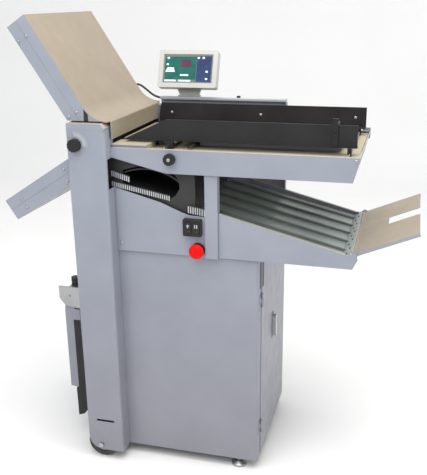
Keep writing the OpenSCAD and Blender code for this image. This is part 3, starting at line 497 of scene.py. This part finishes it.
def add_screws():
    screws("upper_body_screws", [at(-121, PLATE_Y, 1195), at(3, PLATE_Y, 1009)], "upper_fold_plate")
    screws("upper_cover_screws", [at(-98, PLATE_Y, 1209), at(25, PLATE_Y, 1021)], "upper_fold_plate")
    screws("lower_body_screws", [at(-143, PLATE_Y, 759), at(-17, PLATE_Y, 837)], "lower_fold_plate")
    screws("lower_cover_screws", [at(-158, PLATE_Y, 782), at(-24, PLATE_Y, 871)], "lower_fold_plate")
    screws("rail_screws", [at(733, 32, 923)], "chassis")
    screws("panel_screws", [at(118, 44, 668)], "chassis")
    screws("guide_screws", [at(x, 376, 972) for x in (160, 430, 700)], "rear_guide")
    screws("lug_screw", [at(733, 407, 919)], "chassis")


# The column's knob: X and Z of its middle
KNOB_AT = (23, 940)
# The scale about the knob: its inner and outer edge, then the degrees at which it starts and that it spans
SCALE_INNER, SCALE_OUTER = 0.0195, 0.0340
SCALE_START, SCALE_TURN = -8, 106
# How many ticks it has, the degrees from one to the next, and half of one's width in degrees
TICKS, TICK_STEP, HALF_TICK = 11, 9, 0.8
# A tick's gap to the outer edge, and how far in from that edge a short and a long one reach
TICK_GAP, SHORT_TICK, LONG_TICK = 0.0008, 0.0034, 0.0056


def add_scale():
    """Printed scale that runs a quarter turn round the column's knob."""
    centre = at(KNOB_AT[0], -0.6, KNOB_AT[1])

    def spot(turn, radius):
        return centre + Vector((sin(turn) * radius, 0, cos(turn) * radius))

    steps = 24
    arc = [radians(SCALE_START + SCALE_TURN * k / steps) for k in range(steps + 1)]
    band = [spot(a, SCALE_OUTER) for a in arc] + [spot(a, SCALE_INNER) for a in reversed(arc)]
    flat("knob_scale", [band], Vector((0, 0.0004, 0)), PALE, "chassis")

    ticks = []
    for k in range(TICKS):
        left = radians(TICK_STEP * k) - radians(HALF_TICK)
        right = radians(TICK_STEP * k) + radians(HALF_TICK)
        near = SCALE_OUTER - (LONG_TICK if k % 5 == 0 else SHORT_TICK)
        far = SCALE_OUTER - TICK_GAP
        corners = [spot(left, near), spot(right, near), spot(right, far), spot(left, far)]
        ticks.append([c + Vector((0, -0.0002, 0)) for c in corners])
    flat("knob_scale_ticks", ticks, Vector((0, 0.0002, 0)), DARK, "chassis")


# Distance from the seat and radius of each turned cap, from its rim to its middle
TABLE_CAP = [(0, 0.0048), (0.0008, 0.0047), (0.0016, 0.0040), (0.002, 0.0026), (0.0021, 0.001)]
COLUMN_CAP = [(0, 0.0125), (0.0004, 0.0122), (0.0006, 0.0100), (0.0004, 0.0090), (0.0004, 0.001)]
BAR_KNOB = [(0, 0.0045), (0.001, 0.0058), (0.0045, 0.0058), (0.0055, 0.0048), (0.0058, 0.002)]
LAMP = [(0, 0.0024), (0.0005, 0.0022), (0.0008, 0.0014), (0.0009, 0.0004)]


def add_knob_caps():
    table_seat = at(268, 14.2, 908)
    column_seat = at(KNOB_AT[0], -15.8, KNOB_AT[1])
    bar_seat = at(350, 436.5, 1011)
    turned("table_knob_cap", table_seat, FRONT, TABLE_CAP, IRON, "table_adjuster")
    turned("column_knob_cap", column_seat, FRONT, COLUMN_CAP, BLACK, "column_adjuster")
    turned("bar_knob", bar_seat, UP, BAR_KNOB, BLACK, "chassis")


# The two push buttons: X of each, the height of their symbols and of their lamps, and half a symbol
START_X, STOP_X = 310, 332
SYMBOL_Z, LAMP_Z = 732, 718
SYMBOL = 0.0050


def add_symbols():
    """Plain printed shapes and a small lamp on each of the two push buttons."""
    r = SYMBOL
    arrow = [(-r * 0.35, -r), (r * 0.35, -r), (r * 0.35, 0), (r, 0), (0, r), (-r, 0), (-r * 0.35, 0)]
    bar = rounded(r * 0.6, r * 2, r * 0.2)
    ink = Vector((0, 0.0002, 0))

    def on_button(x, points, shift=0.0):
        middle = at(x, 29.8, SYMBOL_Z) + Vector((shift, 0, 0))
        return [middle + Vector((px, 0, pz)) for px, pz in points]

    bars = [on_button(STOP_X, bar, side * r * 0.55) for side in (-1, 1)]
    flat("start_symbol", [on_button(START_X, arrow)], ink, PALE, "start_key")
    flat("stop_symbol", bars, ink, PALE, "stop_key")

    amber = glow("lamp_amber", (0.085, 0.030, 0.022), (0.12, 0.045, 0.032), 0.05)
    for name, x, body in (("start_lamp", START_X, "start_key"), ("stop_lamp", STOP_X, "stop_key")):
        turned(name, at(x, 30, LAMP_Z), FRONT, LAMP, amber, body, 20)


def add_rail_lug():
    """Small plate that joins the rear rail to the table's right end."""
    outline = ((719, 909), (740, 909), (741.5, 915), (741.5, 940), (719, 940))
    # The lug takes the paint with painted warm top light
    flat("rail_lug", [facing(outline, 407.2)], Vector((0, 0.0018, 0)), TOP_LIT_TAN, "chassis")


def add_corner_slot():
    """Painted shade: a dark plate set in the finger slot in the cabinet's corner, where the slot's depth
    would be in shade.
    """
    corners = [at(493.6, y, z) for y, z in box_of(67.3, 82.7, 556.3, 631.7)]
    flat("corner_slot_painted_shade", [corners], Vector((0.0008, 0, 0)), DARK, "chassis")


def add_door_grip():
    """Black grip let into the door: a plate with a smaller one on its face."""
    middle = at(495.2, 102, 590.5)
    thick = 0.0012

    def build(bm):
        for proud, depth, outline in ((0.0, thick, rounded(0.028, 0.083, 0.005)),
                                      (thick, 0.0008, rounded(0.021, 0.074, 0.004))):
            points = [Vector((middle.x + proud, middle.y + py, middle.z + pz)) for py, pz in outline]
            plate(bm, points, Vector((depth, 0, 0)))
    piece("door_grip", mesh_of("door_grip", build), BLACK, "door")


def add_panel_edge():
    """Turned edge of the front panel, seen in its gap beside the column."""
    outline = ((105.3, 647), (109.9, 647), (109.9, 821), (105.3, 822))
    flat("panel_edge", [facing(outline, 45.4)], Vector((0, 0.0006, 0)), PANEL, "chassis")


def add_hood_slot():
    """Painted shade: dark sheets behind the gap in the upper plate's front and back skirts, standing for the
    shade inside the hood.
    """
    outline = ((42.5, 999.5), (57.5, 999.5), (57.5, 1014), (50, 1021), (42.5, 1031))
    shade_sheets = [facing(outline, y) for y in (18.3, 413.9)]
    flat("hood_slot_painted_shade", shade_sheets, Vector((0, 0.0015, 0)), DARK, "upper_fold_plate")


# ---------- screen ----------

TILT = radians(20)
TILT_AXIS = at(196, 442, 1037)
# The glass in the screen's own frame, before it is tilted: its size, its middle and its face
GLASS_SIZE = (0.152, 0.084)
GLASS_MIDDLE = (0.0, 0.049)
GLASS_Y = -0.0322
# How far each layer of the picture lies in front of the glass
FIELD, PATCH, PRINT = 0.0003, 0.0005, 0.0006


def on_screen(x, z, proud=0.0):
    """A point on the display, from the middle of its tilt axis, proud of the glass by so much."""
    y = GLASS_Y - proud
    back = Vector((x, y * cos(TILT) + z * sin(TILT), -y * sin(TILT) + z * cos(TILT)))
    return TILT_AXIS + back


def screen_shape(name, points, finish, proud):
    """A flat patch on the display; points are from the display's middle, in its half widths and heights."""
    w, h = GLASS_SIZE[0] / 2, GLASS_SIZE[1] / 2
    corners = [on_screen(GLASS_MIDDLE[0] + x * w, GLASS_MIDDLE[1] + z * h, proud) for x, z in points]
    behind = on_screen(0, 0, 0) - on_screen(0, 0, 0.0001)
    flat(name, [corners], behind, finish, "screen_tilt", False)


def add_display():
    """Plain fields, keys and dots in the places of the photo's picture, with nothing written."""
    teal = glow("ui_teal", (0.0, 0.072, 0.058), (0.0, 0.110, 0.090), 0.3)
    blue = glow("ui_blue", (0.010, 0.022, 0.085), (0.020, 0.040, 0.125), 0.3)
    plum = glow("ui_plum", (0.075, 0.014, 0.040), (0.11, 0.024, 0.060), 0.25)
    light = glow("ui_light", (0.50, 0.64, 0.68), (0.62, 0.74, 0.78), 0.45)
    sheet = [(-0.92, -0.24), (-0.52, -0.24), (-0.58, 0.08), (-0.84, 0.08)]
    screen_shape("display_glass", box_of(-1, 1, -1, 1), GLASS, 0.0)
    screen_shape("display_field_left", box_of(-0.94, 0.34, -0.78, 0.86), teal, FIELD)
    screen_shape("display_field_right", box_of(0.36, 0.95, -0.92, 0.90), blue, FIELD)
    screen_shape("display_field_warm", box_of(-0.28, 0.12, 0.10, 0.62), plum, PATCH)
    screen_shape("display_sheet", sheet, light, PRINT)
    screen_shape("display_key", box_of(-0.30, 0.04, -0.52, -0.40), light, PRINT)
    screen_shape("display_footer_left", box_of(-0.93, -0.46, -0.92, -0.80), light, PRINT)
    screen_shape("display_footer_right", box_of(-0.36, 0.14, -0.92, -0.80), light, PRINT)
    marks = [(0.42, 0.78), (0.62, 0.78), (0.78, -0.20), (0.78, -0.72), (-0.82, 0.76), (-0.84, 0.30)]
    dot = rounded(2, 2, 0.8, 3)
    for k, (x, z) in enumerate(marks):
        screen_shape("display_mark_%d" % k, [(x + px * 0.05, z + pz * 0.07) for px, pz in dot], light, PRINT)


# ---------- screen lead ----------

# The lead's route, point for point as in part.scad, in millimetres
LEAD = [
    (14, 430, 1010), (14, 430, 1022), (16, 430, 1033), (22, 431, 1042), (31, 432, 1046),
    (42, 434, 1043), (54, 436, 1034), (66, 437, 1024), (78, 437, 1015), (90, 437, 1009),
    (102, 437, 1006)
]
LEAD_WIDTH = 0.0064


def add_lead():
    curve = bpy.data.curves.new("lead", "CURVE")
    curve.dimensions = "3D"
    curve.bevel_depth = LEAD_WIDTH / 2
    curve.bevel_resolution = 5
    curve.resolution_u = 8
    spline = curve.splines.new("NURBS")
    spline.points.add(len(LEAD) - 1)
    for point, place in zip(spline.points, LEAD):
        point.co = (*at(*place), 1)
    spline.order_u = 3
    spline.use_endpoint_u = True
    curve.use_fill_caps = True
    curve.materials.append(CABLE)
    made = bpy.data.objects.new("lead", curve)
    bpy.context.scene.collection.objects.link(made)
    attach(made, "chassis")
    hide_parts("screen_lead")


# ---------- trim ----------


def add_side_dark_strips():
    """Dark strips on both ends of the stowed tray, cut off at a slant, where the tray looks dark from the
    front.
    """
    outline = ((-72.5, 394), (-51.5, 394), (-47, 93), (-62, 76), (-79, 70), (-80.5, 164), (-72.5, 171))
    dark_strips = [facing(outline, y) for y in (96.2, 346.1)]
    flat("side_tray_dark_strips", dark_strips, Vector((0, 0.0007, 0)), BLACK, "catch_tray")


# Each row of the lip's slots: how far up the lip it is, its first slot's Y and how many it has
LIP_ROWS = ((0.55, 57, 6), (0.80, 93, 5))
LIP_PITCH = 72


def add_lip_marks():
    """Two rows of small slots along the delivery tray's turned-up end, drawn as flat dark patches: painted
    shade in place of openings.
    """
    start, end = at(706, 0, 673.0), at(727.5, 0, 684.3)
    along = (end - start).normalized()
    above = Vector((-along.z, 0, along.x))
    half, wide = along * 0.002, Vector((0, 0.012, 0))
    slots = []
    for share, first, count in LIP_ROWS:
        spot = start.lerp(end, share)
        for k in range(count):
            base = Vector((spot.x, at(0, first + LIP_PITCH * k, 0).y, spot.z)) + above * 0.0002
            slots.append([base - half, base + half, base + half + wide, base - half + wide])
    flat("tray_lip_slot_shade", slots, above * 0.0003, DARK, "chassis", False)


add_lead()
add_screws()
add_scale()
add_knob_caps()
add_symbols()
add_rail_lug()
add_corner_slot()
add_door_grip()
add_hood_slot()
add_panel_edge()
add_display()
add_side_dark_strips()
add_lip_marks()

# ---------- floor and light ----------

# Half the floor's width, where it bends up into a wall, the bend's radius and the wall's top
FLOOR_HALF, FLOOR_BACK, FLOOR_BEND, WALL_TOP = 6.0, 3.2, 0.9, 5.0


def add_floor():
    """Pale floor that bends up into a wall behind the machine."""
    def build(bm):
        steps = 12
        line = [(-FLOOR_HALF, 0.0), (FLOOR_BACK, 0.0)]
        for k in range(1, steps + 1):
            turn = radians(90 * k / steps)
            line.append((FLOOR_BACK + FLOOR_BEND * sin(turn), FLOOR_BEND - FLOOR_BEND * cos(turn)))
        line.append((FLOOR_BACK + FLOOR_BEND, WALL_TOP))
        rows = [[bm.verts.new((x, y, z)) for y, z in line] for x in (-FLOOR_HALF, FLOOR_HALF)]
        for k in range(len(line) - 1):
            bm.faces.new((rows[0][k], rows[1][k], rows[1][k + 1], rows[0][k + 1]))
    mesh = mesh_of("floor", build)
    mesh.materials.append(finish_of("floor_paint", (0.93, 0.93, 0.93), (0.96, 0.96, 0.96), (0.8, 0.9),
                                    scale=1.5, grain=60, bump=0.02, edge=0))
    made = bpy.data.objects.new("floor", mesh)
    bpy.context.scene.collection.objects.link(made)


def add_light(name, place, aim, size, power, colour):
    """A soft lamp at a place, in metres, that looks at another."""
    data = bpy.data.lights.new(name, "AREA")
    data.shape = "RECTANGLE"
    data.size, data.size_y = size
    data.energy = power
    data.color = colour
    made = bpy.data.objects.new(name, data)
    bpy.context.scene.collection.objects.link(made)
    made.location = place
    made.rotation_euler = (Vector(aim) - Vector(place)).to_track_quat("-Z", "Y").to_euler()


def add_world(colour, strength):
    world = bpy.data.worlds.new("studio")
    bpy.context.scene.world = world
    world.use_nodes = True
    sky = world.node_tree.nodes["Background"]
    sky.inputs["Color"].default_value = (*colour, 1)
    sky.inputs["Strength"].default_value = strength


add_floor()
add_world(colour=(0.98, 0.99, 1.0), strength=0.78)
add_light("top", place=(0.5, -0.5, 3.0), aim=(0.1, 0, 0.7), size=(2.4, 2.0), power=62,
          colour=(1.0, 0.96, 0.90))
add_light("front", place=(-0.5, -2.0, 2.5), aim=(0, 0, 1.1), size=(1.8, 1.0), power=19,
          colour=(0.97, 0.98, 1.0))
add_light("side", place=(3.2, -0.6, 1.5), aim=(0.2, 0, 0.6), size=(1.8, 2.0), power=6,
          colour=(0.92, 0.96, 1.0))
